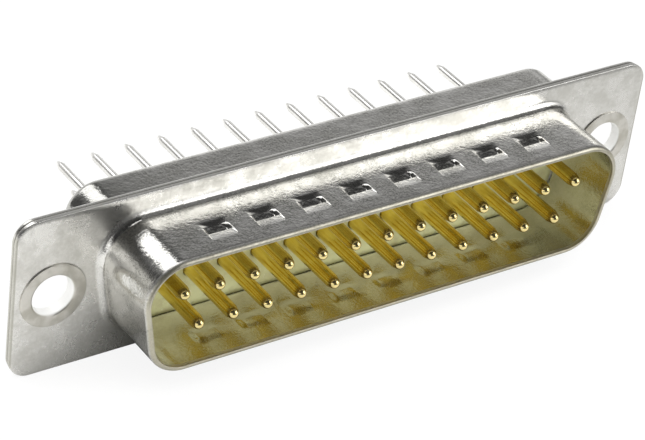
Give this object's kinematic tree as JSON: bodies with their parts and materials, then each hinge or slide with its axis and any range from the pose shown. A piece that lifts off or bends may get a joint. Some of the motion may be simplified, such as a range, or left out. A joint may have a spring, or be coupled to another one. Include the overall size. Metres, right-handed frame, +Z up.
{
  "type": "d-shaped plug connector",
  "caption": "D-shaped plug connector: drawn metal shells with a flange and eyelet screw holes, rows of round pins inside the mouth and straight board tails behind.",
  "frame": {"origin": "midway between the two screw holes, on the seam between the front and rear flange", "axes": "+X along the contact rows, -Y out of the mating mouth, +Y along the board tails, +Z up with the wide row above"},
  "size_m": [0.053, 0.018, 0.0126],
  "materials": {
    "shell_plate": "bright tin plate on drawn steel",
    "moulding": "light grey glass-filled moulding",
    "eyelet_plate": "plated, satin",
    "contact_metal": "gold plated pins, tinned tails"
  },
  "bodies": {
    "root": {"front_shell": "shell_plate", "rear_shell": "shell_plate", "front_insulator": "moulding", "rear_insulator": "moulding", "eyelet_left": "eyelet_plate", "eyelet_right": "eyelet_plate", "contact_01": "contact_metal", "contact_02": "contact_metal", "contact_03": "contact_metal", "contact_04": "contact_metal", "contact_05": "contact_metal", "contact_06": "contact_metal", "contact_07": "contact_metal", "contact_08": "contact_metal", "contact_09": "contact_metal", "contact_10": "contact_metal", "contact_11": "contact_metal", "contact_12": "contact_metal", "contact_13": "contact_metal", "contact_14": "contact_metal", "contact_15": "contact_metal", "contact_16": "contact_metal", "contact_17": "contact_metal", "contact_18": "contact_metal", "contact_19": "contact_metal", "contact_20": "contact_metal", "contact_21": "contact_metal", "contact_22": "contact_metal", "contact_23": "contact_metal", "contact_24": "contact_metal", "contact_25": "contact_metal"}
  },
  "joints": []
}
